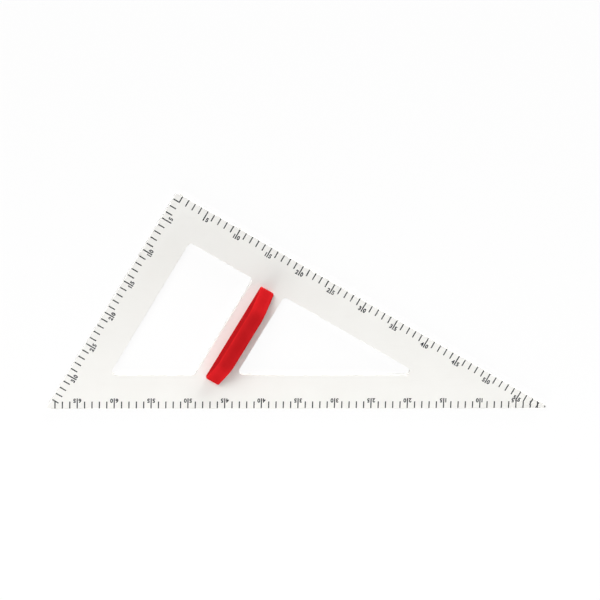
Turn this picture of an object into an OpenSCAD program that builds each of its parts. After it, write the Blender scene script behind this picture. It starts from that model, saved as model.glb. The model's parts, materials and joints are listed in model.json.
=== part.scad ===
// Blackboard set square: a white plastic triangle with two windows, a red grip and printed scales.
// The back lies on z = 0 and the grip stands up along +Z. +X runs along the hypotenuse to the slim tip,
// +Y points to the square corner, and the origin is under the middle of the plate's outline.

/* [Plate] */
// Length of the long leg, measured between sharp corners
long_leg = 600; // [500:10:800]
// Angle of the slim tip, between the hypotenuse and the long leg
tip_angle = 30; // [28:1:45]
// Thickness of the plate
plate_t = 8; // [6:0.5:12]
// Width of the two legs, from their outer edges to the windows
leg_w = 50; // [40:1:60]
// Width of the hypotenuse's rail, from its outer edge to the windows
base_w = 48; // [40:1:60]
// Distance from the short leg's edge to the near side of the cross bar
bar_inset = 150; // [120:5:180]
// Width of the cross bar that carries the grip
bar_w = 49; // [36:1:70]
// Radius of the three outer corners
corner_r = 3; // [1:0.5:6]
// Radius of the window corners
window_r = 5.5; // [2:0.5:10]
// Width of the sloping border that carries the scales
border_w = 18; // [14:1:30]
// Height lost across the sloping border
border_drop = 1.5; // [0.5:0.1:3]

/* [Grip] */
// Length of the grip along the cross bar
grip_len = 146; // [120:1:180]
// Width of the grip
grip_w = 20.5; // [16:0.5:30]
// Height of the grip above the plate
grip_h = 33; // [24:1:45]
// Height of the grip's upright end faces
grip_end_h = 6.5; // [5:0.5:12]
// Length of each sloping end, measured along the bar
grip_slope_len = 30; // [20:1:40]
// Radius of the shoulders between the flat top and the sloping ends
grip_shoulder_r = 25; // [5:1:40]
// Wall of the hollow grip
grip_wall = 2.5; // [1.5:0.1:3.5]
// Distance of the grip from the middle of the bar, towards the hypotenuse
grip_shift = 3.5; // [-10:0.5:10]

/* [Screws] */
// Distance between the two screws
screw_spacing = 70; // [50:1:90]
// Diameter of the thread
screw_d = 4; // [3:0.1:5]
// Diameter of the head
screw_head_d = 7.6; // [6:0.1:9]
// Height of the head
screw_head_h = 2.6; // [1.5:0.1:3.2]
// Length of thread inside the grip
screw_hold = 12; // [8:0.5:14]
// Depth of the head below the back of the plate
screw_sunk = 0.6; // [0.2:0.1:1]
// Gap around the thread and the head in their holes
screw_gap = 0.2; // [0.1:0.05:0.4]
// Wall of the bosses that take the screws
boss_wall = 2.4; // [1.5:0.1:3]

/* [Scales] */
// Distance between neighbouring ticks
tick_pitch = 10; // [10:1:20]
// Ticks from one number to the next
ticks_per_number = 5; // [5:5:10]
// Width of a tick
tick_w = 1.6; // [0.8:0.1:2]
// Length of a plain tick
tick_len = 9.7; // [5:0.1:11]
// Length of a tick that carries a number
number_tick_len = 14.3; // [10:0.1:16]
// Distance from the plate's edge to the ticks
tick_inset = 1.1; // [1:0.1:3]
// Free length at the far end of each scale
scale_end_gap = 12; // [12:0.5:20]
// Height of the digits
digit_h = 6.3; // [5:0.1:7]
// Width of a digit
digit_w = 4; // [3.2:0.1:4.4]
// Width of the digits' strokes
digit_stroke = 1.05; // [0.7:0.05:1.2]
// Distance between the middles of neighbouring digits
digit_pitch = 7.2; // [6.4:0.1:8]
// Distance from the plate's edge to the tops of the digits
digit_inset = 8.9; // [6:0.1:10]
// Thickness of the ink
ink_t = 0.1; // [0.05:0.05:0.3]
// Least distance from any ink to the plate's edges
ink_margin = 1; // [0.5:0.1:1.6]
// Number that the short leg's first tick stands for
short_leg_first = 2; // [1:1:2]

/* [Hidden] */
$fn = 48;
cut_over = 1;
// Angle at which the corner arcs meet the sides, so that no arc only touches a side
arc_bite = 6;

// The triangle of sharp corners, with the wide corner at the start of the hypotenuse
wide_angle = 90 - tip_angle;
hypotenuse = long_leg / cos(tip_angle);
short_leg = hypotenuse * sin(tip_angle);
wide_corner = [0, 0];
tip_corner = [hypotenuse, 0];
square_corner = short_leg * [cos(wide_angle), sin(wide_angle)];
corners = [wide_corner, tip_corner, square_corner];

// Directions square to the edges, pointing into the plate
from_hypotenuse = [0, 1];
from_short_leg = [sin(wide_angle), -cos(wide_angle)];
from_long_leg = [-sin(tip_angle), -cos(tip_angle)];
long_leg_base = square_corner * from_long_leg;

// Middle of the rounded outline's box
corner_in = corner_r * cos(arc_bite);
left_reach = hypotenuse_and_short_leg(corner_in, corner_in).x - corner_r;
right_reach = hypotenuse_and_long_leg(corner_in, corner_in).x + corner_r;
top_reach = long_leg_and_short_leg(corner_in, corner_in).y + corner_r;
outline_middle = [(left_reach + right_reach) / 2, top_reach / 2];

// Windows on both sides of the cross bar
bar_far = bar_inset + bar_w;
left_window = [
    hypotenuse_and_short_leg(base_w, leg_w),
    hypotenuse_and_short_leg(base_w, bar_inset),
    long_leg_and_short_leg(leg_w, bar_inset),
    long_leg_and_short_leg(leg_w, leg_w)
];
right_window = [
    hypotenuse_and_short_leg(base_w, bar_far),
    hypotenuse_and_long_leg(base_w, leg_w),
    long_leg_and_short_leg(leg_w, bar_far)
];

// Middle line of the cross bar, from the hypotenuse to the long leg
bar_middle = bar_inset + bar_w / 2;
bar_start = hypotenuse_and_short_leg(0, bar_middle);
bar_end = long_leg_and_short_leg(0, bar_middle);

// Grip on that line, and its hollow
grip_middle = (bar_start + bar_end) / 2 - grip_shift * unit(bar_end - bar_start);
grip_slope = atan((grip_h - grip_end_h) / grip_slope_len);
hollow_h = grip_h - grip_wall;
hollow_end_h = grip_end_h + grip_wall * tan(grip_slope) - grip_wall / cos(grip_slope);
hollow_slope_len = (hollow_h - hollow_end_h) / tan(grip_slope);
boss_d = screw_d + 2 * (screw_gap + boss_wall);

// Screws, whose heads lie in pockets in the back of the plate
pocket_depth = screw_head_h + screw_sunk;
pocket_d = screw_head_d + 2 * screw_gap;
bore_d = screw_d + 2 * screw_gap;
thread_len = plate_t - pocket_depth + screw_hold;
screw_point_len = screw_d;
screw_point_d = screw_d / 4;

// Cross slot in the head
drive_w = screw_d / 4;
drive_len = 0.6 * screw_head_d;
drive_depth = screw_head_h / 2;

// Digits are drawn along the middle of their strokes
digit_mid_w = digit_w - digit_stroke;
digit_mid_h = digit_h - digit_stroke;
digit_arc = 30;
// Height of a lower bowl, as a share of the digit
bowl_share = 0.58;
// Circle inside a bowl that the stem of the six leaves
stem_share = 0.9;
// Height of the lower half of a three, as a share of the digit
three_share = 0.54;
// Widest oval, as a share of its own height
oval_share = 0.96;
// Place of a lone digit beside its tick, in digit distances
lone_place = 0.64;

function unit(v) = v / norm(v);
function left_of(v) = [-v.y, v.x];

// Point that lies on two lines, each given by its direction square to it and its distance along that
function cross_point(na, ca, nb, cb) =
    let (det = na.x * nb.y - na.y * nb.x)
    [(ca * nb.y - cb * na.y) / det, (na.x * cb - nb.x * ca) / det];

// Points at given distances from two of the plate's edges
function hypotenuse_and_short_leg(a, b) = cross_point(from_hypotenuse, a, from_short_leg, b);
function hypotenuse_and_long_leg(a, b) = cross_point(from_hypotenuse, a, from_long_leg, long_leg_base + b);
function long_leg_and_short_leg(a, b) = cross_point(from_long_leg, long_leg_base + a, from_short_leg, b);

// What a true arc leaves of a corner, from the directions of the corner's two sides
module corner_cut(corner, back, ahead, r) {
    half = acos(back * ahead) / 2;
    out = -unit(back + ahead);
    inset = r * cos(arc_bite);
    middle = corner - out * inset / sin(half);
    difference() {
        polygon([
            middle,
            middle + unit(out + back * cos(half)) * (inset + cut_over),
            corner + out * cut_over / sin(half),
            middle + unit(out + ahead * cos(half)) * (inset + cut_over)
        ]);
        translate(middle) circle(r);
    }
}

// Convex polygon with true arcs at its corners
module rounded_polygon(points, r) {
    n = len(points);
    difference() {
        polygon(points);
        for (i = [0 : n - 1])
            corner_cut(
                points[i],
                unit(points[(i + n - 1) % n] - points[i]),
                unit(points[(i + 1) % n] - points[i]),
                r
            );
    }
}

// Moves the plate's own layout, which starts at the wide corner, to the part's origin
module centred() translate([-outline_middle.x, -outline_middle.y, 0]) children();

// Each edge in its reading direction: +X along the edge, +Y out of the plate
module on_hypotenuse() translate(tip_corner) rotate(180) children();
module on_long_leg() translate(square_corner) rotate(-tip_angle) children();
module on_short_leg() translate(wide_corner) rotate(wide_angle) children();

// What is cut away above the sloping border of one edge
module border_cut(edge_len) {
    rise = border_drop / border_w;
    outer_h = plate_t - border_drop - cut_over * rise;
    inner_h = plate_t + cut_over * rise;
    translate([-cut_over, 0, 0])
        rotate([90, 0, 90])
            linear_extrude(edge_len + 2 * cut_over)
                polygon([[cut_over, outer_h], [cut_over, inner_h], [-border_w - cut_over, inner_h]]);
}

module border_cuts() {
    on_hypotenuse() border_cut(hypotenuse);
    on_long_leg() border_cut(long_leg);
    on_short_leg() border_cut(short_leg);
}

// The grip's own layout: its middle at the origin, +X along the bar to the long leg
module on_bar() translate(grip_middle) rotate(wide_angle) children();

// side is 1 for the screw near the long leg and -1 for the one near the hypotenuse
module at_screw(side) on_bar() translate([side * screw_spacing / 2, 0, 0]) children();

module plate() {
    color("whitesmoke") centred() difference() {
        linear_extrude(plate_t) rounded_polygon(corners, corner_r);
        border_cuts();
        for (window = [left_window, right_window])
            translate([0, 0, -cut_over])
                linear_extrude(plate_t + 2 * cut_over)
                    rounded_polygon(window, window_r);
        for (side = [-1, 1]) at_screw(side) {
            translate([0, 0, -cut_over]) cylinder(d = bore_d, h = plate_t + 2 * cut_over);
            translate([0, 0, -cut_over]) cylinder(d = pocket_d, h = pocket_depth + cut_over);
        }
    }
}

// Body with upright ends, sloping shoulders and a flat top
module grip_body(half_len, width, bottom, end_h, slope_len, top_h, shoulder_r) {
    flat_half = half_len - slope_len;
    rotate([90, 0, 0])
        linear_extrude(width, center = true)
            difference() {
                polygon([
                    [-half_len, bottom],
                    [half_len, bottom],
                    [half_len, end_h],
                    [flat_half, top_h],
                    [-flat_half, top_h],
                    [-half_len, end_h]
                ]);
                for (side = [-1, 1])
                    corner_cut(
                        [side * flat_half, top_h],
                        unit([side * slope_len, end_h - top_h]),
                        [-side, 0],
                        shoulder_r
                    );
            }
}

module grip_outside() {
    on_bar() translate([0, 0, plate_t])
        grip_body(grip_len / 2, grip_w, 0, grip_end_h, grip_slope_len, grip_h, grip_shoulder_r);
}

module grip_hollow() {
    half_len = grip_len / 2 - grip_wall;
    width = grip_w - 2 * grip_wall;
    shoulder_r = grip_shoulder_r - grip_wall;
    on_bar() translate([0, 0, plate_t])
        grip_body(half_len, width, -cut_over, hollow_end_h, hollow_slope_len, hollow_h, shoulder_r);
}

// One upright cylinder round each screw, from the face of the plate
module round_screws(d, bottom, top) {
    for (side = [-1, 1]) at_screw(side)
        translate([0, 0, plate_t + bottom])
            cylinder(d = d, h = top - bottom);
}

module handle() {
    color("firebrick") centred() difference() {
        union() {
            difference() {
                grip_outside();
                grip_hollow();
            }
            intersection() {
                grip_outside();
                round_screws(boss_d, 0, grip_h);
            }
        }
        round_screws(bore_d, -cut_over, screw_hold + 2 * screw_gap);
    }
}

// Pan-head screw with a pointed thread and a cross slot, its head in the back of the plate
module screw(side) {
    color("silver") centred() at_screw(side) translate([0, 0, screw_sunk]) difference() {
        union() {
            cylinder(d = screw_head_d, h = screw_head_h);
            translate([0, 0, screw_head_h]) cylinder(d = screw_d, h = thread_len - screw_point_len);
            translate([0, 0, screw_head_h + thread_len - screw_point_len])
                cylinder(d1 = screw_d, d2 = screw_point_d, h = screw_point_len);
        }
        for (turn = [0, 90]) rotate(turn)
            translate([-drive_len / 2, -drive_w / 2, -cut_over])
                cube([drive_len, drive_w, drive_depth + cut_over]);
    }
}

module upper_screw() screw(1);
module lower_screw() screw(-1);

// Points along an arc, from one angle to another
function arc(middle, r, from, to) =
    let (steps = max(1, ceil(abs(to - from) / digit_arc)))
    [
        for (i = [0 : steps])
            let (angle = from + (to - from) * i / steps)
            middle + r * [cos(angle), sin(angle)]
    ];

// Direction square to a path at one of its points, stretched where the path bends
function path_normal(path, i) =
    let (
        before = left_of(unit(i > 0 ? path[i] - path[i - 1] : path[1] - path[0])),
        after = left_of(unit(i < len(path) - 1 ? path[i + 1] - path[i] : path[i] - path[i - 1])),
        middle = unit(before + after)
    )
    middle / max(0.5, middle * before);

// One pen stroke along a path
module stroke(path) {
    half = digit_stroke / 2;
    last = len(path) - 1;
    polygon(concat(
        [for (i = [0 : last]) path[i] + half * path_normal(path, i)],
        [for (i = [last : -1 : 0]) path[i] - half * path_normal(path, i)]
    ));
}

// Closed oval of the pen with round ends, as wide as a digit where its height allows that
module oval(low, high) {
    mid_r = oval_r(low, high);
    difference() {
        oval_face(low + mid_r, high - mid_r, mid_r + digit_stroke / 2);
        oval_face(low + mid_r, high - mid_r, mid_r - digit_stroke / 2);
    }
}

function oval_r(low, high) = min(digit_mid_w, (high - low) * oval_share) / 2;

module oval_face(low_middle, high_middle, r) {
    polygon(concat(arc([0, high_middle], r, 0, 180), arc([0, low_middle], r, 180, 360)));
}

// One digit, its foot on y = 0 and its middle on x = 0, drawn in shares of its half width and its height
module digit(value) {
    w = digit_mid_w / 2;
    h = digit_mid_h;
    bowl = h * bowl_share;
    translate([0, digit_stroke / 2]) {
        if (value == 0) oval(0, h);
        if (value == 1) {
            stroke([[w * 0.6, 0], [w * 0.6, h]]);
            stroke([[w * 0.6, h * 0.93], [-w * 0.4, h * 0.72]]);
        }
        if (value == 2) stroke(concat(arc([0, h - w], w, 170, -30), [[-w, 0], [w, 0]]));
        if (value == 3) {
            low_r = h * three_share / 2;
            high_r = h / 2 - low_r;
            stroke(concat(arc([0, h - high_r], high_r, 150, -90), [[-w * 0.4, 2 * low_r]]));
            stroke(arc([0, low_r], low_r, 90, -150));
        }
        if (value == 4) {
            stroke([[w * 0.4, 0], [w * 0.4, h]]);
            stroke([[w * 0.4, h * 0.95], [-w, h * 0.3], [w, h * 0.3]]);
        }
        if (value == 5) {
            stroke([[w * 0.8, h], [-w * 0.75, h], [-w * 0.85, h * 0.47]]);
            stroke(arc([0, bowl / 2], bowl / 2, 130, -145));
        }
        if (value == 6) stemmed_bowl(w, h, bowl);
        if (value == 7) stroke([[-w, h], [w, h], [-w * 0.3, 0]]);
        if (value == 8) {
            oval(0, bowl);
            oval(bowl - digit_stroke / 2, h);
        }
        if (value == 9) translate([0, h]) rotate(180) stemmed_bowl(w, h, bowl);
    }
}

// The six, and the nine when turned: a closed bowl, and a stem that runs off its side
module stemmed_bowl(w, h, bowl) {
    r = oval_r(0, bowl);
    middle = [0, bowl - r];
    top = [w * 0.45, h] - middle;
    turn = atan2(top.y, top.x) + acos(stem_share * r / norm(top));
    oval(0, bowl);
    stroke([middle + stem_share * r * [cos(turn), sin(turn)], middle + top]);
}

// The figures of one number, on both sides of its tick, with their tops towards the edge
module number(value) {
    figures = str(value);
    n = len(figures);
    for (i = [0 : n - 1])
        translate([(n == 1 ? lone_place : i - (n - 1) / 2) * digit_pitch, -digit_inset - digit_h])
            digit(ord(figures[i]) - ord("0"));
}

// Ticks and numbers of one edge; first is what the first tick stands for
module scale_print(edge_len, first, from_start) {
    count = floor((edge_len - scale_end_gap) / tick_pitch);
    for (k = [1 : count]) {
        value = k + first - 1;
        numbered = value % ticks_per_number == 0;
        len = numbered ? number_tick_len : tick_len;
        translate([from_start ? k * tick_pitch : edge_len - k * tick_pitch, 0]) {
            translate([-tick_w / 2, -tick_inset - len]) square([tick_w, len]);
            if (numbered) number(value);
        }
    }
}

module hypotenuse_print() on_hypotenuse() scale_print(hypotenuse, 1, true);
module long_leg_print() on_long_leg() scale_print(long_leg, 1, true);
module short_leg_print() on_short_leg() scale_print(short_leg, short_leg_first, false);

// Upper face of the plate, with sharp corners and no windows
module roof() {
    difference() {
        linear_extrude(plate_t) polygon(corners);
        border_cuts();
    }
}

// Lays a flat print on the upper face of the plate as a film of ink
module inked() {
    color("darkslategray") centred() difference() {
        intersection() {
            linear_extrude(plate_t + cut_over)
                intersection() {
                    children();
                    polygon([
                        hypotenuse_and_short_leg(ink_margin, ink_margin),
                        hypotenuse_and_long_leg(ink_margin, ink_margin),
                        long_leg_and_short_leg(ink_margin, ink_margin)
                    ]);
                }
            translate([0, 0, ink_t]) roof();
        }
        roof();
    }
}

module hypotenuse_scale() inked() hypotenuse_print();

// The scales run into each other at the corners, where ink that is already there is left out
module long_leg_scale() {
    inked() difference() {
        long_leg_print();
        hypotenuse_print();
    }
}

module short_leg_scale() {
    inked() difference() {
        short_leg_print();
        hypotenuse_print();
        long_leg_print();
    }
}

plate();
handle();
upper_screw();
lower_screw();
hypotenuse_scale();
long_leg_scale();
short_leg_scale();
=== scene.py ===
import json
import math

import bmesh
import bpy
from mathutils import Matrix, Vector

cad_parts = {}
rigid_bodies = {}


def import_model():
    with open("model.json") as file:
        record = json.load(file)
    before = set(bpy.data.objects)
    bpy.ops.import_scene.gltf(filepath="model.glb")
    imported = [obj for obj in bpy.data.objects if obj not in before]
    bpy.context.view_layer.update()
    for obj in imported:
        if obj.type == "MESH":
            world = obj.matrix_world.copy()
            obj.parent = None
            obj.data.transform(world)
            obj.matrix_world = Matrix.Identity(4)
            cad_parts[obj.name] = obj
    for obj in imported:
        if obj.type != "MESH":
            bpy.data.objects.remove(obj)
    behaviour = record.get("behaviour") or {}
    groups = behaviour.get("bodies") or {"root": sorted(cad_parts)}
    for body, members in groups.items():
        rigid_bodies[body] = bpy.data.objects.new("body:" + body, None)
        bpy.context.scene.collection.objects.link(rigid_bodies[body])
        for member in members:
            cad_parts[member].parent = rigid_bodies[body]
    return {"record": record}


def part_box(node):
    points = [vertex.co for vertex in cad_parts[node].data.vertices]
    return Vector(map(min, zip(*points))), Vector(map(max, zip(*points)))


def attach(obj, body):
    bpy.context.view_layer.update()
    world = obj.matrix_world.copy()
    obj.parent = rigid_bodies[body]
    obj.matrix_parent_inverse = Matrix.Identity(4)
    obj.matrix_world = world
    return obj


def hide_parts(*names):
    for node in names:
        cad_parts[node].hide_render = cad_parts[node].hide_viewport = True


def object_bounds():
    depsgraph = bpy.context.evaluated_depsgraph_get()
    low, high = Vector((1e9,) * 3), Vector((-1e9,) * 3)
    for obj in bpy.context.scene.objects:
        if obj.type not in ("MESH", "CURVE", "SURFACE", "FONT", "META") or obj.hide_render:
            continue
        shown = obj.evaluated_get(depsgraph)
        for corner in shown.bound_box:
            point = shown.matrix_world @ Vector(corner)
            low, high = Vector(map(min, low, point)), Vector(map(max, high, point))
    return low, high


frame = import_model()
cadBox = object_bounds()
scene = bpy.context.scene
print("frame loaded")


# small helpers that every piece uses
# points closer than mergeReach become one, and those within levelReach of a height lie on it
meshSet = {"mergeReach": 1e-6, "levelReach": 1e-7, "sharpTurn": math.radians(40.0), "faceWeight": 60}


def addNode(tree, kind, inputs=None, **settings):
    made = tree.nodes.new(kind)
    for name, value in settings.items():
        setattr(made, name, value)
    for key, value in (inputs or {}).items():
        if isinstance(value, bpy.types.NodeSocket):
            tree.links.new(value, made.inputs[key])
        else:
            made.inputs[key].default_value = value
    return made


def mountAt(name):
    return next(Vector(mount["pos_m"]) for mount in frame["record"]["mounts"] if mount["name"] == name)


def lineCross(normalA, reachA, normalB, reachB):
    spread = normalA.x * normalB.y - normalA.y * normalB.x
    return Vector((reachA * normalB.y - reachB * normalA.y, normalA.x * reachB - normalB.x * reachA)) / spread


def cornerArc(before, corner, after, radius, steps):
    if radius <= 0:
        return [corner.copy() for step in range(steps + 1)]
    back = (before - corner).normalized()
    ahead = (after - corner).normalized()
    half = back.angle(ahead) / 2
    centre = corner + (back + ahead).normalized() * radius / math.sin(half)
    first = corner + back * radius / math.tan(half) - centre
    last = corner + ahead * radius / math.tan(half) - centre
    turn = math.atan2(first.x * last.y - first.y * last.x, first.dot(last))
    return [centre + Matrix.Rotation(turn * step / steps, 2) @ first for step in range(steps + 1)]


def roundedLoop(corners, rounds, insets, steps):
    # corners run counter-clockwise; inset i belongs to the side that leaves corner i
    count = len(corners)
    sides = []
    for index in range(count):
        run = (corners[(index + 1) % count] - corners[index]).normalized()
        normal = Vector((-run.y, run.x))
        sides.append((normal, corners[index].dot(normal) + insets[index]))
    moved = [lineCross(*sides[index - 1], *sides[index]) for index in range(count)]
    loop = []
    for index in range(count):
        radius = rounds[index] - max(insets[index - 1], insets[index])
        loop += cornerArc(moved[index - 1], moved[index], moved[(index + 1) % count], radius, steps)
    return loop


def bridgeLoops(bm, rings, closed=True):
    for lower, upper in zip(rings, rings[1:]):
        count = len(lower)
        for index in range(count if closed else count - 1):
            after = (index + 1) % count
            bm.faces.new((lower[index], lower[after], upper[after], upper[index]))


def planRing(bm, loop, height):
    return [bm.verts.new((point.x, point.y, height)) for point in loop]


def circleLoop(centre, radius, steps):
    turns = [2 * math.pi * step / steps for step in range(steps)]
    return [centre + radius * Vector((math.cos(turn), math.sin(turn))) for turn in turns]


def mergeDoubles(bm):
    bmesh.ops.remove_doubles(bm, verts=bm.verts, dist=meshSet["mergeReach"])


def fillFlat(bm, height, up):
    # closes the flat face between the open rims that lie at one height
    def isLevel(edge):
        return all(abs(vert.co.z - height) < meshSet["levelReach"] for vert in edge.verts)

    rims = [edge for edge in bm.edges if edge.is_boundary and isLevel(edge)]
    bmesh.ops.triangle_fill(bm, edges=rims, use_beauty=True, normal=(0.0, 0.0, up))


def finishMesh(bm, name, material):
    bmesh.ops.recalc_face_normals(bm, faces=bm.faces)
    mesh = bpy.data.meshes.new(name)
    bm.to_mesh(mesh)
    bm.free()
    mesh.shade_smooth()
    piece = bpy.data.objects.new(name, mesh)
    scene.collection.objects.link(piece)
    piece.data.materials.append(material)
    return piece


def bakeModifiers(piece):
    # the evaluated shape becomes a plain mesh, with its split normals
    ready = piece.evaluated_get(bpy.context.evaluated_depsgraph_get())
    mesh = bpy.data.meshes.new_from_object(ready)
    mesh.name = piece.name
    old = piece.data
    piece.modifiers.clear()
    piece.data = mesh
    bpy.data.meshes.remove(old)
    return piece


def flattenNormals(piece):
    # wide faces keep their own direction, narrow roundings blend between them and true corners stay sharp
    piece.data.set_sharp_from_angle(angle=meshSet["sharpTurn"])
    weigh = piece.modifiers.new("weightedNormals", "WEIGHTED_NORMAL")
    weigh.mode = "FACE_AREA"
    weigh.weight = meshSet["faceWeight"]
    weigh.keep_sharp = True
    return bakeModifiers(piece)


def keepPiece(piece, node):
    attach(piece, "root")
    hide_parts(node)
    return piece


# the triangle that every piece is laid out on, in metres; its wide corner is the layout's zero
layout = {"longLeg": 0.600, "tipAngle": 30.0}
hypotenuse = layout["longLeg"] / math.cos(math.radians(layout["tipAngle"]))
shortLeg = layout["longLeg"] * math.tan(math.radians(layout["tipAngle"]))
wideTurn = math.radians(90.0 - layout["tipAngle"])
upAcross = Vector((math.cos(wideTurn), math.sin(wideTurn)))
layoutTip = Vector((hypotenuse, 0.0))
layoutSquare = shortLeg * upAcross
layoutZero = mountAt("long_leg_edge").xy - (layoutTip + layoutSquare) / 2
wideCorner = layoutZero
tipCorner = layoutZero + layoutTip
squareCorner = layoutZero + layoutSquare


# camera: seen nearly straight down, from a little above the long leg
cameraSet = {"away": 4.433, "tilt": 14.2, "turn": 112.8, "roll": 1.37, "frameWide": 0.8114, "aimHigh": 0.005,
             "aimRight": -0.00095, "aimUp": 0.00243, "sensorWide": 36.0, "seesTo": 60.0}


def placeCamera():
    tilt, turn, roll = (math.radians(cameraSet[key]) for key in ("tilt", "turn", "roll"))
    back = Vector((math.sin(tilt) * math.cos(turn), math.sin(tilt) * math.sin(turn), math.cos(tilt)))
    level = Vector((0.0, 1.0, 0.0)).cross(back).normalized()
    rise = back.cross(level)
    right = level * math.cos(roll) + rise * math.sin(roll)
    up = rise * math.cos(roll) - level * math.sin(roll)
    eye = Vector((0.0, 0.0, cameraSet["aimHigh"])) + back * cameraSet["away"]
    eye += right * cameraSet["aimRight"] + up * cameraSet["aimUp"]
    lens = bpy.data.cameras.new("camera")
    lens.sensor_width = cameraSet["sensorWide"]
    lens.lens = lens.sensor_width * cameraSet["away"] / cameraSet["frameWide"]
    lens.clip_end = cameraSet["seesTo"]
    camera = bpy.data.objects.new("camera", lens)
    axes = Matrix((right, up, back)).transposed()
    camera.matrix_world = Matrix.Translation(eye) @ axes.to_4x4()
    scene.collection.objects.link(camera)
    scene.camera = camera


placeCamera()
scene.view_settings.view_transform = "Standard"
print("camera placed")


# shared effects: colours and values only
skinSet = {"mottleScale": 14.0, "mottleDetail": 4.0, "mottleRough": 0.55,
           "pitScale": 1500.0, "pitDetail": 2.0, "pitRough": 0.6}
rubSet = {"scale": 9.0, "amount": 0.5, "turn": 0.6, "stretch": 9.0, "detail": 6.0, "rough": 0.7,
          "faint": 0.56, "full": 0.74}
spreadEnds = (0.3, 0.7)  # a noise hardly leaves this range
mixA, mixB, mixOut = 6, 7, 2  # sockets of a Mix node that carry colours


def startGroup(name, inputs, outputs):
    group = bpy.data.node_groups.new(name, "ShaderNodeTree")
    for label, value in inputs.items():
        group.interface.new_socket(label, in_out="INPUT", socket_type="NodeSocketFloat").default_value = value
    for label in outputs:
        group.interface.new_socket(label, in_out="OUTPUT", socket_type="NodeSocketFloat")
    return group, addNode(group, "NodeGroupInput").outputs, addNode(group, "NodeGroupOutput").inputs


def mouldedSkinGroup():
    # slow mottling and fine pitting of a moulded plastic skin
    group, given, put = startGroup(
        "mouldedSkin", {"Mottle Scale": skinSet["mottleScale"], "Pit Scale": skinSet["pitScale"]},
        ["Mottle", "Pits"])
    place = addNode(group, "ShaderNodeTexCoord").outputs["Object"]
    mottle = addNode(group, "ShaderNodeTexNoise",
                     {"Vector": place, "Scale": given["Mottle Scale"], "Detail": skinSet["mottleDetail"],
                      "Roughness": skinSet["mottleRough"]})
    pits = addNode(group, "ShaderNodeTexNoise",
                   {"Vector": place, "Scale": given["Pit Scale"], "Detail": skinSet["pitDetail"],
                    "Roughness": skinSet["pitRough"]})
    group.links.new(mottle.outputs["Fac"], put["Mottle"])
    group.links.new(pits.outputs["Fac"], put["Pits"])
    return group


def handlingGroup():
    # sparse rub marks from being handled, as a mask from 0 to 1
    group, given, put = startGroup(
        "handlingMarks", {"Scale": rubSet["scale"], "Amount": rubSet["amount"]}, ["Rub"])
    place = addNode(group, "ShaderNodeTexCoord").outputs["Object"]
    drawnOut = addNode(group, "ShaderNodeMapping",
                       {"Vector": place, "Rotation": (0.0, 0.0, rubSet["turn"]),
                        "Scale": (1.0, rubSet["stretch"], 1.0)})
    streaks = addNode(group, "ShaderNodeTexNoise",
                      {"Vector": drawnOut.outputs["Vector"], "Scale": given["Scale"],
                       "Detail": rubSet["detail"], "Roughness": rubSet["rough"]})
    kept = addNode(group, "ShaderNodeMapRange",
                   {"Value": streaks.outputs["Fac"], "From Min": rubSet["faint"], "From Max": rubSet["full"],
                    "To Min": 0.0, "To Max": given["Amount"]})
    group.links.new(kept.outputs["Result"], put["Rub"])
    return group


mouldedSkin = mouldedSkinGroup()
handlingMarks = handlingGroup()


def opaque(colour):
    return (*colour, 1.0)


def colourSpread(tree, amount, colours):
    ramp = addNode(tree, "ShaderNodeValToRGB", {"Fac": amount})
    for end, position, colour in zip(ramp.color_ramp.elements, spreadEnds, colours):
        end.position = position
        end.color = opaque(colour)
    return ramp.outputs["Color"]


def valueSpread(tree, amount, values):
    spread = addNode(tree, "ShaderNodeMapRange",
                     {"Value": amount, "From Min": spreadEnds[0], "From Max": spreadEnds[1],
                      "To Min": values[0], "To Max": values[1]})
    return spread.outputs["Result"]


def startFinish(name, finish):
    # what every finish has: a mottled colour and roughness, pits where the surface has them, and its gloss
    material = bpy.data.materials.new(name)
    material.use_nodes = True
    tree = material.node_tree
    tree.nodes.clear()
    surface = addNode(tree, "ShaderNodeBsdfPrincipled")
    addNode(tree, "ShaderNodeOutputMaterial", {"Surface": surface.outputs["BSDF"]})
    skin = addNode(tree, "ShaderNodeGroup", {"Mottle Scale": finish["mottleScale"]},
                   node_tree=mouldedSkin).outputs
    tint = colourSpread(tree, skin["Mottle"], finish["colours"])
    tree.links.new(tint, surface.inputs["Base Color"])
    tree.links.new(valueSpread(tree, skin["Mottle"], finish["rough"]), surface.inputs["Roughness"])
    if finish["pitDeep"] > 0:
        pits = addNode(tree, "ShaderNodeBump", {"Height": skin["Pits"], "Distance": finish["pitDeep"],
                                                "Strength": finish["pitStrength"]})
        tree.links.new(pits.outputs["Normal"], surface.inputs["Normal"])
    surface.inputs["Specular IOR Level"].default_value = finish["gloss"]
    surface.inputs["Metallic"].default_value = finish["metal"]
    return material, tree, surface, tint


def rubbed(tree, surface, tint, mask, colour):
    # where the mask is strong the mark colour takes the place of the tint: real rub marks on the plate, a
    # painted highlight along the grip's edges
    wornOrHighlit = addNode(tree, "ShaderNodeMix", {"Factor": mask, mixA: tint, mixB: opaque(colour)},
                   data_type="RGBA")
    tree.links.new(wornOrHighlit.outputs[mixOut], surface.inputs["Base Color"])


plateFinish = {"colours": ((0.864, 0.854, 0.822), (0.890, 0.882, 0.852)), "mottleScale": 14.0,
               "rough": (0.50, 0.60), "pitDeep": 0.00004, "pitStrength": 0.25, "gloss": 0.0, "metal": 0.0,
               "rubOrPaintedHighlight": (0.824, 0.810, 0.775), "rubAmount": 0.25}


def platePlastic():
    material, tree, surface, tint = startFinish("platePlastic", plateFinish)
    marks = addNode(tree, "ShaderNodeGroup", {"Amount": plateFinish["rubAmount"]}, node_tree=handlingMarks)
    rubbed(tree, surface, tint, marks.outputs["Rub"], plateFinish["rubOrPaintedHighlight"])
    return material


# the last colour is a painted highlight: a lighter red laid along the grip's rounded edges, standing in for
# light falling on them
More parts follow.
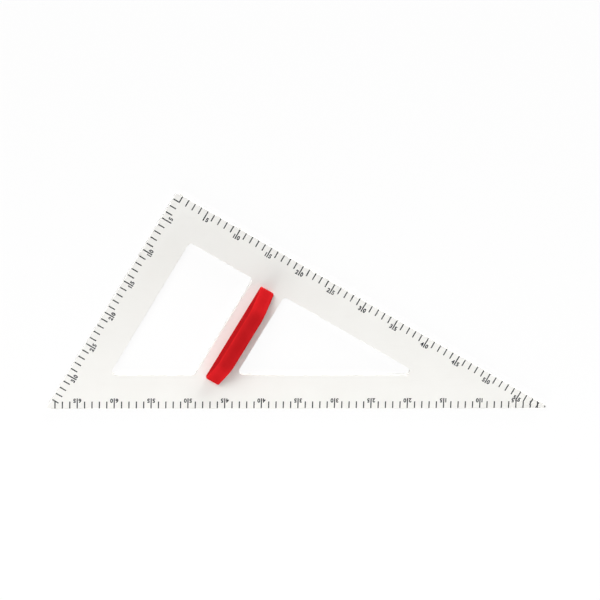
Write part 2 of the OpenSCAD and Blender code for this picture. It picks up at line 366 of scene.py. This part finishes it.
gripFinish = {"colours": ((0.470, 0.0095, 0.0120), (0.515, 0.0120, 0.0150)), "mottleScale": 60.0,
              "rough": (0.42, 0.52), "pitDeep": 0.00004, "pitStrength": 0.3, "gloss": 0.0, "metal": 0.0,
              "rubOrPaintedHighlight": (0.640, 0.0150, 0.0180)}


def gripPlastic():
    material, tree, surface, tint = startFinish("gripPlastic", gripFinish)
    # the edge attribute marks where the painted highlight lightens the red
    edges = addNode(tree, "ShaderNodeAttribute", attribute_name="edgeRub")
    rubbed(tree, surface, tint, edges.outputs["Fac"], gripFinish["rubOrPaintedHighlight"])
    return material


inkFinish = {"colours": ((0.030, 0.033, 0.038), (0.044, 0.048, 0.054)), "mottleScale": 220.0,
             "rough": (0.5, 0.65), "pitDeep": 0.0, "gloss": 0.1, "metal": 0.0}


def printedInk():
    return startFinish("printedInk", inkFinish)[0]


steelFinish = {"colours": ((0.50, 0.50, 0.49), (0.66, 0.67, 0.68)), "mottleScale": 700.0,
               "rough": (0.28, 0.42), "pitDeep": 0.00003, "pitStrength": 0.3, "gloss": 0.5, "metal": 1.0}


def zincSteel():
    return startFinish("zincSteel", steelFinish)[0]


plateLook = platePlastic()
gripLook = gripPlastic()
inkLook = printedInk()
screwLook = zincSteel()
print("materials made")


# stage: a white floor that keeps the shadow, in a ring of low light with three soft boxes
stageSet = {"floorWide": 30.0, "floorDrop": 0.0003, "floorPaint": (0.95, 0.95, 0.95), "floorGlow": 0.9,
            "white": (1.0, 1.0, 1.0), "ring": 0.4, "ringFall": 4.0}
# each soft box: compass turn and height in degrees, how fast it falls off and how bright it is
softBoxes = {"key": {"turn": 126.0, "rise": 51.0, "fall": 20.0, "level": 7.2},
             "alongTop": {"turn": 66.0, "rise": 8.0, "fall": 24.0, "level": 14.5},
             "alongFoot": {"turn": 240.0, "rise": 8.0, "fall": 24.0, "level": 10.3}}


def seenRays(tree):
    # 1 for what is looked at, straight or in a shiny piece, and 0 for what only lights
    path = addNode(tree, "ShaderNodeLightPath").outputs
    seen = path["Is Camera Ray"]
    for kind in ("Is Glossy Ray", "Is Transmission Ray"):
        seen = addNode(tree, "ShaderNodeMath", {0: seen, 1: path[kind]}, operation="MAXIMUM").outputs[0]
    return seen


def floorWhite():
    material = bpy.data.materials.new("floorWhite")
    material.use_nodes = True
    tree = material.node_tree
    tree.nodes.clear()
    share = addNode(tree, "ShaderNodeMath", {0: seenRays(tree), 1: stageSet["floorGlow"]},
                    operation="MULTIPLY")
    paint = addNode(tree, "ShaderNodeBsdfDiffuse", {"Color": opaque(stageSet["floorPaint"])})
    glow = addNode(tree, "ShaderNodeEmission", {"Color": opaque(stageSet["white"]), "Strength": 1.0})
    both = addNode(tree, "ShaderNodeMixShader",
                   {0: share.outputs[0], 1: paint.outputs[0], 2: glow.outputs[0]})
    addNode(tree, "ShaderNodeOutputMaterial", {"Surface": both.outputs[0]})
    return material


def layFloor():
    half = stageSet["floorWide"] / 2
    low = cadBox[0].z - stageSet["floorDrop"]
    mesh = bpy.data.meshes.new("floor")
    mesh.from_pydata([(-half, -half, low), (half, -half, low), (half, half, low), (-half, half, low)], [],
                     [(0, 1, 2, 3)])
    floor = bpy.data.objects.new("floor", mesh)
    floor.data.materials.append(floorWhite())
    scene.collection.objects.link(floor)


def outward(turn, rise):
    # direction to a light, from its compass turn and its height in degrees
    turn, rise = math.radians(turn), math.radians(rise)
    return Vector((math.cos(rise) * math.cos(turn), math.cos(rise) * math.sin(turn), math.sin(rise)))


def lightWorld():
    scene.world = bpy.data.worlds.new("studio")
    scene.world.use_nodes = True
    tree = scene.world.node_tree
    tree.nodes.clear()

    def sums(kind, first, second):
        return addNode(tree, "ShaderNodeMath", {0: first, 1: second}, operation=kind).outputs[0]

    toward = addNode(tree, "ShaderNodeTexCoord").outputs["Generated"]
    high = addNode(tree, "ShaderNodeSeparateXYZ", {0: toward}).outputs["Z"]
    lit = sums("MULTIPLY", sums("POWER", sums("SUBTRACT", 1.0, high), stageSet["ringFall"]), stageSet["ring"])
    for box in softBoxes.values():
        aim = outward(box["turn"], box["rise"])
        facing = addNode(tree, "ShaderNodeVectorMath", {0: toward, 1: aim}, operation="DOT_PRODUCT")
        glow = sums("POWER", sums("MAXIMUM", facing.outputs["Value"], 0.0), box["fall"])
        lit = sums("ADD", lit, sums("MULTIPLY", glow, box["level"]))
    strength = addNode(tree, "ShaderNodeMix", {"Factor": seenRays(tree), "A": lit, "B": 1.0},
                       data_type="FLOAT")
    sky = addNode(tree, "ShaderNodeBackground",
                  {"Color": opaque(stageSet["white"]), "Strength": strength.outputs[0]})
    addNode(tree, "ShaderNodeOutputWorld", {"Surface": sky.outputs[0]})


# each lamp: compass turn and height as seen from the square, distance, size and power
lamps = {"frontLamp": {"turn": 266.0, "rise": 30.0, "away": 0.61, "wide": 1.2, "deep": 0.3, "power": 1.8}}


def hangLamps():
    for name, lamp in lamps.items():
        aim = outward(lamp["turn"], lamp["rise"])
        light = bpy.data.lights.new(name, "AREA")
        light.shape = "RECTANGLE"
        light.size = lamp["wide"]
        light.size_y = lamp["deep"]
        light.energy = lamp["power"]
        holder = bpy.data.objects.new(name, light)
        facing = aim.to_track_quat("Z", "Y").to_matrix().to_4x4()
        holder.matrix_world = Matrix.Translation(aim * lamp["away"]) @ facing
        holder.visible_camera = False
        scene.collection.objects.link(holder)


layFloor()
lightWorld()
hangLamps()
print("stage set")


# plate: rings of the outline and of both windows, joined into one skin
plateSet = {"legWide": 0.050, "baseWide": 0.048, "barInset": 0.150, "barWide": 0.049, "cornerRound": 0.003,
            "windowRound": 0.0055, "borderWide": 0.018, "borderDrop": 0.0015, "edgeRound": 0.0013,
            "creaseHalf": 0.0012, "backRound": 0.0004, "windowEdge": 0.0004, "backing": 0.0016,
            "arcSteps": 14, "edgeSteps": 6,
            "pocketGap": 0.0002, "pocketDeep": 0.0032, "boreHalf": 0.0022, "boreSteps": 40}
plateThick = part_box("plate")[1].z
screwBoxes = [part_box("upper_screw"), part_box("lower_screw")]
screwSpots = [(low + high).xy / 2 for low, high in screwBoxes]
screwHeadHalf = (screwBoxes[0][1].x - screwBoxes[0][0].x) / 2


def windowCorners():
    # both windows follow the sides of the square; the bar between them runs along the short leg
    corners = [wideCorner, tipCorner, squareCorner]
    insets = [plateSet["baseWide"], plateSet["legWide"], plateSet["legWide"]]
    low, far, top = roundedLoop(corners, [0.0] * 3, insets, 1)[::2]  # a sharp corner gives two like points
    fromShort = Vector((upAcross.y, -upAcross.x))
    fromLong = Vector((-upAcross.x, -upAcross.y))
    nearBar = wideCorner.dot(fromShort) + plateSet["barInset"]
    farBar = nearBar + plateSet["barWide"]
    base = Vector((0.0, 1.0))
    feet = [lineCross(fromShort, reach, base, low.y) for reach in (nearBar, farBar)]
    heads = [lineCross(fromShort, reach, fromLong, top.dot(fromLong)) for reach in (nearBar, farBar)]
    return [[low, feet[0], heads[0], top], [feet[1], far, heads[1]]]


def rimProfile():
    # inset and height, from the back edge round to the flat front
    steps = plateSet["edgeSteps"]
    foot = Vector((0.0, 0.0))
    rim = Vector((0.0, plateThick - plateSet["borderDrop"]))
    border = Vector((plateSet["borderWide"], plateThick))
    crease = plateSet["creaseHalf"]
    profile = cornerArc(Vector((1.0, 0.0)), foot, rim, plateSet["backRound"], steps)
    profile += cornerArc(foot, rim, border, plateSet["edgeRound"], steps)
    profile += [border - (border - rim).normalized() * crease]
    profile += [border + Vector((crease * step, 0.0)) for step in (1, 2)]
    return [foot + Vector((plateSet["backing"], 0.0))] + profile


def windowProfile():
    # negative insets reach from the window into the plate
    steps = plateSet["edgeSteps"]
    front = Vector((0.0, plateThick))
    back = Vector((0.0, 0.0))
    profile = cornerArc(front - Vector((1.0, 0.0)), front, back, plateSet["windowEdge"], steps)
    profile += cornerArc(front, back, back - Vector((1.0, 0.0)), plateSet["backRound"], steps)
    behind = Vector((plateSet["backing"], 0.0))
    return [front - behind] + profile + [back - behind]


def buildPlate():
    bm = bmesh.new()
    steps = plateSet["arcSteps"]
    outline = [wideCorner, tipCorner, squareCorner]
    rounds = [plateSet["cornerRound"]] * 3
    bridgeLoops(bm, [planRing(bm, roundedLoop(outline, rounds, [inset] * 3, steps), height)
                     for inset, height in rimProfile()])
    for corners in windowCorners():
        count = len(corners)
        rounds = [plateSet["windowRound"]] * count
        bridgeLoops(bm, [planRing(bm, roundedLoop(corners, rounds, [inset] * count, steps), height)
                         for inset, height in windowProfile()])
    pocketHalf = screwHeadHalf + plateSet["pocketGap"]
    tube = [(pocketHalf, 0.0), (pocketHalf, plateSet["pocketDeep"]),
            (plateSet["boreHalf"], plateSet["pocketDeep"]), (plateSet["boreHalf"], plateThick)]
    for spot in screwSpots:
        bridgeLoops(bm, [planRing(bm, circleLoop(spot, radius, plateSet["boreSteps"]), height)
                         for radius, height in tube])
    mergeDoubles(bm)
    fillFlat(bm, plateThick, 1.0)
    fillFlat(bm, 0.0, -1.0)
    return flattenNormals(finishMesh(bm, "plateShell", plateLook))


plateShell = keepPiece(buildPlate(), "plate")
print("plate built")


# grip: its long profile is drawn once and set in towards both sides, which rounds the edges
# two of these set the painted highlight on the top face: how strong it is next to the edge and how far in it
# fades
gripSet = {"long": 0.146, "wide": 0.0205, "endHigh": 0.0065, "slopeLong": 0.030, "shoulderRound": 0.025,
           "endRound": 0.003, "edgeRound": 0.0022, "highlightReach": 0.005, "topHighlight": 0.5, "wall": 0.0025,
           "innerEdge": 0.0005, "arcSteps": 10, "edgeSteps": 6, "bossHalf": 0.0046, "boreHalf": 0.0022,
           "boreDeep": 0.0124, "boreSteps": 32}
gripTop = mountAt("grip")
gripHigh = gripTop.z - plateThick


def gripProfile(inset):
    # open run from one foot over the top to the other; the line of the feet isn't set in
    half = gripSet["long"] / 2
    flat = half - gripSet["slopeLong"]
    corners = [Vector((-half, 0.0)), Vector((half, 0.0)), Vector((half, gripSet["endHigh"])),
               Vector((flat, gripHigh)), Vector((-flat, gripHigh)), Vector((-half, gripSet["endHigh"]))]
    shoulder, end, steps = gripSet["shoulderRound"], gripSet["endRound"], gripSet["arcSteps"]
    loop = roundedLoop(corners, [0.0, 0.0, end, shoulder, shoulder, end], [0.0] + [inset] * 5, steps)
    return loop[steps + 1:] + loop[:1]


def addShell(bm, wall, edge):
    side = gripSet["wide"] / 2 - wall
    steps = gripSet["edgeSteps"]
    turns = [math.pi / 2 * step / steps for step in range(steps + 1)]
    # inset, place across the grip and how strongly the red is lightened there as a painted highlight, most on
    # the edge itself
    rounding = [(wall + edge * (1 - math.sin(turn)), side - edge * (1 - math.cos(turn)),
                 max(math.sin(2 * turn), gripSet["topHighlight"] * math.sin(turn))) for turn in turns]
    # a last ring inside the edge, where the painted highlight has faded out
    rounding.append((wall, side - edge - gripSet["highlightReach"], 0.0))
    rounding += [(inset, -across, rubOrPaintedHighlight) for inset, across, rubOrPaintedHighlight in reversed(rounding)]
    # each point keeps its painted highlight amount in an attribute that the grip's material reads
    highlightLayer = bm.verts.layers.float.get("edgeRub") or bm.verts.layers.float.new("edgeRub")
    rings = []
    for inset, across, rubOrPaintedHighlight in rounding:
        ring = [bm.verts.new((point.x, across, point.y)) for point in gripProfile(inset)]
        for vert in ring:
            vert[highlightLayer] = rubOrPaintedHighlight
        rings.append(ring)
    bridgeLoops(bm, rings, closed=False)
    bm.faces.new(rings[0])
    bm.faces.new(rings[-1])


def addBosses(bm):
    ceiling = plateThick + gripHigh - gripSet["wall"] / 2
    outer, inner = gripSet["bossHalf"], gripSet["boreHalf"]
    boreTop = plateThick + gripSet["boreDeep"]
    turned = [(0.0, boreTop), (inner, boreTop), (inner, plateThick), (outer, plateThick), (outer, ceiling),
              (0.0, ceiling)]
    for spot in screwSpots:
        bridgeLoops(bm, [planRing(bm, circleLoop(spot, radius, gripSet["boreSteps"]), height)
                         for radius, height in turned])


def buildGrip():
    bm = bmesh.new()
    addShell(bm, 0.0, gripSet["edgeRound"])
    addShell(bm, gripSet["wall"], gripSet["innerEdge"])
    mergeDoubles(bm)
    fillFlat(bm, 0.0, -1.0)
    seat = Matrix.Translation((gripTop.x, gripTop.y, plateThick)) @ Matrix.Rotation(wideTurn, 4, "Z")
    bmesh.ops.transform(bm, matrix=seat, verts=bm.verts)
    addBosses(bm)
    mergeDoubles(bm)
    return flattenNormals(finishMesh(bm, "gripShell", gripLook))


keepPiece(buildGrip(), "handle")
print("grip built")


# screws: pan heads with a cross recess, seen in the pockets of the back, and a cut thread in the bosses
screwSet = {"headHigh": 0.0026, "faceHalf": 0.0027, "domeHigh": 0.0012, "domeSteps": 6,
            "threadHalf": 0.002, "rootHalf": 0.0014, "pitch": 0.0016, "ridgeSlope": 3.0,
            "ringsPerTurn": 8, "around": 32, "pointLong": 0.004, "pointHalf": 0.0005,
            "slotHalf": 0.0005, "slotReach": 0.0022, "slotDeep": 0.0013, "slotTaper": 0.7}


def crossLoop(share):
    half, reach = screwSet["slotHalf"] * share, screwSet["slotReach"] * share
    arm = [Vector((reach, -half)), Vector((reach, half)), Vector((half, half))]
    return [Matrix.Rotation(math.pi / 2 * quarter, 2) @ point for quarter in range(4) for point in arm]


def threadRing(bm, height, base, long):
    # the ridge climbs one pitch per turn and runs out over the point
    taper = min(1.0, (base + long - height) / screwSet["pointLong"])
    ring = []
    for step in range(screwSet["around"]):
        turn = step / screwSet["around"]
        climb = ((height - base) / screwSet["pitch"] - turn) % 1.0
        ridge = max(0.0, 1.0 - abs(climb - 0.5) * screwSet["ridgeSlope"])
        full = screwSet["rootHalf"] + (screwSet["threadHalf"] - screwSet["rootHalf"]) * ridge
        radius = screwSet["pointHalf"] + (full - screwSet["pointHalf"]) * taper
        angle = 2 * math.pi * turn
        ring.append(bm.verts.new((radius * math.cos(angle), radius * math.sin(angle), height)))
    return ring


def buildScrew(name, low, high, spot):
    bm = bmesh.new()
    origin = Vector((0.0, 0.0))
    face, dome, steps = screwSet["faceHalf"], screwSet["domeHigh"], screwSet["domeSteps"]
    rings = []
    for step in range(steps + 1):
        turn = math.pi / 2 * step / steps
        radius = face + (screwHeadHalf - face) * math.sin(turn)
        loop = circleLoop(origin, radius, screwSet["around"])
        rings.append(planRing(bm, loop, dome * (1 - math.cos(turn))))
    for radius in (screwHeadHalf, screwSet["rootHalf"]):
        rings.append(planRing(bm, circleLoop(origin, radius, screwSet["around"]), screwSet["headHigh"]))
    long = high.z - low.z - screwSet["headHigh"]
    count = round(long / screwSet["pitch"] * screwSet["ringsPerTurn"])
    rings += [threadRing(bm, screwSet["headHigh"] + long * step / count, screwSet["headHigh"], long)
              for step in range(1, count + 1)]
    bridgeLoops(bm, rings)
    bm.faces.new(rings[-1])
    slotRim = planRing(bm, crossLoop(1.0), 0.0)
    slotFloor = planRing(bm, crossLoop(screwSet["slotTaper"]), screwSet["slotDeep"])
    bridgeLoops(bm, [slotRim, slotFloor])
    bm.faces.new(slotFloor)
    fillFlat(bm, 0.0, -1.0)
    bmesh.ops.translate(bm, vec=(spot.x, spot.y, low.z), verts=bm.verts)
    return flattenNormals(finishMesh(bm, name, screwLook))


screwNames = {"upper_screw": "upperScrew", "lower_screw": "lowerScrew"}
for (node, name), (low, high), spot in zip(screwNames.items(), screwBoxes, screwSpots):
    keepPiece(buildScrew(name, low, high, spot), node)
print("screws built")


# scales: one node tree prints every edge; ticks and digits lie on the plate's skin as a thin film
scaleSet = {"Count": 68, "First Number": 1, "Numbered Every": 5, "Tick Step": 0.010, "Tick Wide": 0.0016,
            "Tick Long": 0.0097, "Number Tick Long": 0.0143, "Tick Points": 12,
            "Edge Inset": 0.0011, "Clear": 0.0010, "Digit Inset": 0.0089, "Digit High": 0.0063,
            "Digit Step": 0.0072, "Lone Place": 0.64, "Film": 0.0001}
digitSet = {"wide": 0.0040, "bolder": 0.00028, "nearest": 0.00003, "rounding": 3, "oneReach": 0.72}
scaleSockets = {"Plate": "NodeSocketObject", "Digits": "NodeSocketCollection", "Ink": "NodeSocketMaterial",
                "Start": "NodeSocketVector", "Along": "NodeSocketVector", "Outward": "NodeSocketVector",
                "Zero At": "NodeSocketFloat"}


def printTree():
    tree = bpy.data.node_groups.new("edgeScale", "GeometryNodeTree")
    tree.is_modifier = True
    for label, kind in scaleSockets.items():
        tree.interface.new_socket(label, in_out="INPUT", socket_type=kind)
    for label, value in scaleSet.items():
        kind = "NodeSocketInt" if isinstance(value, int) else "NodeSocketFloat"
        tree.interface.new_socket(label, in_out="INPUT", socket_type=kind).default_value = value
    tree.interface.new_socket("Print", in_out="OUTPUT", socket_type="NodeSocketGeometry")
    given = addNode(tree, "NodeGroupInput").outputs

    def sums(kind, first, second=0.0):
        return addNode(tree, "ShaderNodeMath", {0: first, 1: second}, operation=kind).outputs[0]

    def spot(x, y, z=0.0):
        return addNode(tree, "ShaderNodeCombineXYZ", {"X": x, "Y": y, "Z": z}).outputs[0]

    def split(vector):
        return list(addNode(tree, "ShaderNodeSeparateXYZ", {0: vector}).outputs)

    def stretched(vector, amount):
        return addNode(tree, "ShaderNodeVectorMath", {0: vector, "Scale": amount},
                       operation="SCALE").outputs[0]

    def added(first, second):
        return addNode(tree, "ShaderNodeVectorMath", {0: first, 1: second}, operation="ADD").outputs[0]

    def either(chosen, no, yes):
        return addNode(tree, "GeometryNodeSwitch", {"Switch": chosen, "False": no, "True": yes},
                       input_type="FLOAT").outputs[0]

    def below(value, limit):
        return addNode(tree, "FunctionNodeCompare", {0: value, 1: limit}, data_type="FLOAT",
                       operation="LESS_THAN").outputs[0]

    def bothTrue(first, second):
        return addNode(tree, "FunctionNodeBooleanMath", {0: first, 1: second}, operation="AND").outputs[0]

    def falseOf(first):
        return addNode(tree, "FunctionNodeBooleanMath", {0: first}, operation="NOT").outputs[0]

    def onPlate(x, y, z):
        # from along the edge and out of it to the frame's own axes
        flat = added(stretched(given["Along"], x), stretched(given["Outward"], y))
        return added(added(given["Start"], flat), spot(0.0, 0.0, z))

    plate = addNode(tree, "GeometryNodeObjectInfo", {"Object": given["Plate"]},
                    transform_space="ORIGINAL").outputs["Geometry"]
    index = addNode(tree, "GeometryNodeInputIndex").outputs[0]
    number = sums("ADD", index, given["First Number"])
    numbered = below(sums("MODULO", number, given["Numbered Every"]), 0.5)  # no rest
    along = sums("ADD", given["Zero At"], sums("MULTIPLY", sums("ADD", index, 1.0), given["Tick Step"]))

    # a tick stops short of the plate's far side where two edges meet
    root = onPlate(along, sums("MULTIPLY", given["Edge Inset"], -1.0), plateThick / 2)
    far = addNode(tree, "GeometryNodeRaycast", {"Target Geometry": plate, "Source Position": root,
                                                "Ray Direction": stretched(given["Outward"], -1.0),
                                                "Ray Length": plateSet["baseWide"] / 2})
    wanted = either(numbered, given["Tick Long"], given["Number Tick Long"])
    room = sums("SUBTRACT", far.outputs["Hit Distance"], given["Clear"])
    reach = sums("MINIMUM", wanted, either(far.outputs["Is Hit"], wanted, room))
    middle = sums("MULTIPLY", sums("ADD", given["Edge Inset"], sums("DIVIDE", reach, 2.0)), -1.0)
    tickSpots = addNode(tree, "GeometryNodePoints",
                        {"Count": given["Count"], "Position": spot(along, middle)})
    bar = addNode(tree, "GeometryNodeMeshCube", {"Size": (1.0, 1.0, 1.0), "Vertices X": 2,
                                                 "Vertices Y": given["Tick Points"], "Vertices Z": 2})
    ticks = addNode(tree, "GeometryNodeInstanceOnPoints",
                    {"Points": tickSpots.outputs[0], "Selection": falseOf(below(reach, given["Clear"])),
                     "Instance": bar.outputs["Mesh"],
                     "Scale": spot(given["Tick Wide"], reach, given["Film"])})
    joined = addNode(tree, "GeometryNodeJoinGeometry")
    tree.links.new(ticks.outputs[0], joined.inputs[0])

    # tens on the near side of the tick and units on the far side; a lone digit stands a little further off
    figures = addNode(tree, "GeometryNodeCollectionInfo",
                      {"Collection": given["Digits"], "Separate Children": True, "Reset Children": True})
    lone = below(number, 9.5)  # up to nine
    foot = sums("MULTIPLY", sums("ADD", given["Digit Inset"], given["Digit High"]), -1.0)
    places = {"units": (sums("MODULO", number, 10.0), numbered, either(lone, 0.5, given["Lone Place"])),
              "tens": (sums("FLOOR", sums("DIVIDE", number, 10.0)), bothTrue(numbered, falseOf(lone)), -0.5)}
    for figure, shown, share in places.values():
        beside = sums("ADD", along, sums("MULTIPLY", given["Digit Step"], share))
        feet = addNode(tree, "GeometryNodePoints", {"Count": given["Count"], "Position": spot(beside, foot)})
        stood = addNode(tree, "GeometryNodeInstanceOnPoints",
                        {"Points": feet.outputs[0], "Selection": shown, "Instance": figures.outputs[0],
                         "Pick Instance": True, "Instance Index": figure})
        tree.links.new(stood.outputs[0], joined.inputs[0])

    # laid along the edge, then dropped on to the skin
    flat = addNode(tree, "GeometryNodeRealizeInstances", {"Geometry": joined.outputs[0]})
    x, y, z = split(addNode(tree, "GeometryNodeInputPosition").outputs[0])
    laid = addNode(tree, "GeometryNodeSetPosition",
                   {"Geometry": flat.outputs[0], "Position": onPlate(x, y, z)})
    x, y, z = split(addNode(tree, "GeometryNodeInputPosition").outputs[0])
    skin = addNode(tree, "GeometryNodeRaycast",
                   {"Target Geometry": plate, "Source Position": spot(x, y, plateThick * 2),
                    "Ray Direction": (0.0, 0.0, -1.0), "Ray Length": plateThick * 3})
    rise = spot(0.0, 0.0, split(skin.outputs["Hit Position"])[2])
    dropped = addNode(tree, "GeometryNodeSetPosition", {"Geometry": laid.outputs[0], "Offset": rise})
    inked = addNode(tree, "GeometryNodeSetMaterial",
                    {"Geometry": dropped.outputs[0], "Material": given["Ink"]})
    addNode(tree, "NodeGroupOutput", {0: inked.outputs[0]})
    return tree


def flatFigure(value):
    figure = bpy.data.curves.new("figure", "FONT")
    figure.body = str(value)
    figure.size = scaleSet["Digit High"]
    figure.fill_mode = "FRONT"
    figure.resolution_u = digitSet["rounding"]
    drawn = bpy.data.objects.new("figure", figure)
    scene.collection.objects.link(drawn)
    ready = drawn.evaluated_get(bpy.context.evaluated_depsgraph_get())
    mesh = bpy.data.meshes.new_from_object(ready)
    bpy.data.objects.remove(drawn)
    bpy.data.curves.remove(figure)
    return mesh


def rimOut(edge):
    # an outline edge runs with the figure on its left, so its right side points outward
    loop = edge.link_loops[0]
    along = loop.link_loop_next.vert.co - loop.vert.co
    return along.cross(Vector((0.0, 0.0, 1.0))).normalized()


def thicken(mesh):
    # every outline point moves out square to its two edges, then the flat figure becomes a film
    bm = bmesh.new()
    bm.from_mesh(mesh)
    bmesh.ops.remove_doubles(bm, verts=bm.verts, dist=digitSet["nearest"])
    moves = []
    for vert in bm.verts:
        before, after = (rimOut(edge) for edge in vert.link_edges if edge.is_boundary)
        moves.append((vert, (before + after) * digitSet["bolder"] / (1 + before.dot(after))))
    for vert, move in moves:
        vert.co += move - Vector((0.0, 0.0, scaleSet["Film"] / 2))
    front = bmesh.ops.extrude_face_region(bm, geom=bm.faces[:], use_keep_orig=True)["geom"]
    raised = [part for part in front if isinstance(part, bmesh.types.BMVert)]
    bmesh.ops.translate(bm, vec=(0.0, 0.0, scaleSet["Film"]), verts=raised)
    bmesh.ops.recalc_face_normals(bm, faces=bm.faces)
    bm.to_mesh(mesh)
    bm.free()


def castDigits():
    # plain sans figures, each centred with its foot on zero; the narrow one stands nearer to its tick
    shelf = bpy.data.collections.new("digits")
    scene.collection.children.link(shelf)
    for value in range(10):
        mesh = flatFigure(value)
        thicken(mesh)
        spots = [vert.co for vert in mesh.vertices]
        low = Vector((min(spot.x for spot in spots), min(spot.y for spot in spots)))
        high = Vector((max(spot.x for spot in spots), max(spot.y for spot in spots)))
        if value == 0:
            zeroHalf = (high.x - low.x) / 2
            wider, higher = digitSet["wide"] / (high.x - low.x), scaleSet["Digit High"] / (high.y - low.y)
        middle = min((low.x + high.x) / 2, high.x - zeroHalf * digitSet["oneReach"])
        centred = Matrix.Translation((-middle, -low.y, 0.0))
        mesh.transform(Matrix.Diagonal((wider, higher, 1.0, 1.0)) @ centred)
        shelf.objects.link(bpy.data.objects.new("digit" + str(value), mesh))
    return shelf


def printScale(name, tree, digits, start, along, outward, settings):
    piece = bpy.data.objects.new(name, bpy.data.meshes.new(name))
    scene.collection.objects.link(piece)
    press = piece.modifiers.new("press", "NODES")
    press.node_group = tree
    values = {"Plate": plateShell, "Digits": digits, "Ink": inkLook,
              "Start": start.to_3d(), "Along": along.to_3d(), "Outward": outward.to_3d(), **settings}
    for item in tree.interface.items_tree:
        if item.in_out == "INPUT" and item.name in values:
            press[item.identifier] = values[item.name]
    return bakeModifiers(piece)


def printScales():
    tree = printTree()
    digits = castDigits()
    bpy.context.view_layer.update()
    down = Vector((0.0, -1.0))
    toTip = Vector((math.sin(wideTurn), -math.cos(wideTurn)))
    scales = {"hypotenuseScale": ("hypotenuse_scale", tipCorner, Vector((-1.0, 0.0)), down, {"Zero At": 0.0}),
              "longLegScale": ("long_leg_scale", squareCorner, toTip, upAcross,
                               {"Zero At": 0.0, "Count": 58}),
              "shortLegScale": ("short_leg_scale", wideCorner, upAcross, -toTip,
                                {"Zero At": shortLeg, "Tick Step": -scaleSet["Tick Step"], "Count": 33,
                                 "First Number": 2})}
    for name, (node, start, along, outward, settings) in scales.items():
        keepPiece(printScale(name, tree, digits, start, along, outward, settings), node)
    for digit in list(digits.objects):
        mesh = digit.data
        bpy.data.objects.remove(digit)
        bpy.data.meshes.remove(mesh)
    bpy.data.collections.remove(digits)


printScales()
print("scales printed")
